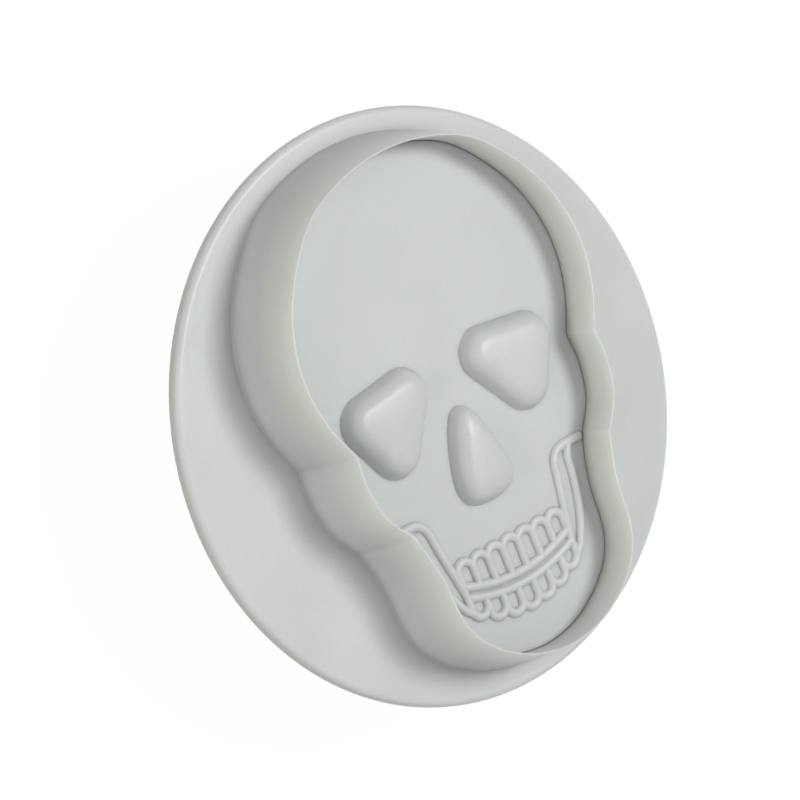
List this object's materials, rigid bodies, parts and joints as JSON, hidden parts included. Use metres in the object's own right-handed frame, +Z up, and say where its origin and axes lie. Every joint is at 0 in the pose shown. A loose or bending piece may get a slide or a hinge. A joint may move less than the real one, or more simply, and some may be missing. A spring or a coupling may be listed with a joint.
{
  "type": "plunger cookie cutter",
  "caption": "Skull-shaped cookie cutter with a thin blade wall on a round disc and a sprung embossing plate that presses in the face and pushes the cookie out.",
  "frame": {"origin": "on the plunger's axis, at the level of the palm knob's flat end, which is the bottom of the part and the middle of its footprint", "axes": "+Z up the plunger's axis, out of the blade; +Y towards the top of the skull; +X to the skull's right-hand side as seen from the blade side with the skull upright"},
  "size_m": [0.09, 0.09, 0.0388],
  "materials": {
    "plastic": "pale, faintly green-white moulded plastic, fine matte with a soft sheen on the raised shapes",
    "spring_steel": "drawn spring wire, bright and smooth",
    "zinc_steel": "zinc-plated screw steel"
  },
  "bodies": {
    "cutter": {"cutter_body": "plastic", "return_spring": "spring_steel"},
    "plunger": {"stamp_plate": "plastic", "plunger_stem": "plastic", "palm_knob": "plastic", "knob_cap": "plastic", "plunger_screw": "zinc_steel", "screw_washer": "zinc_steel"}
  },
  "joints": [
    {"name": "plunger_slide", "type": "slide", "parent": "cutter", "child": "plunger", "axis": [0, 0, 1], "range_m": [0, 0.008], "stiffness_N_per_m": 630, "springref_m": -0.006, "deforming": ["return_spring"]}
  ]
}
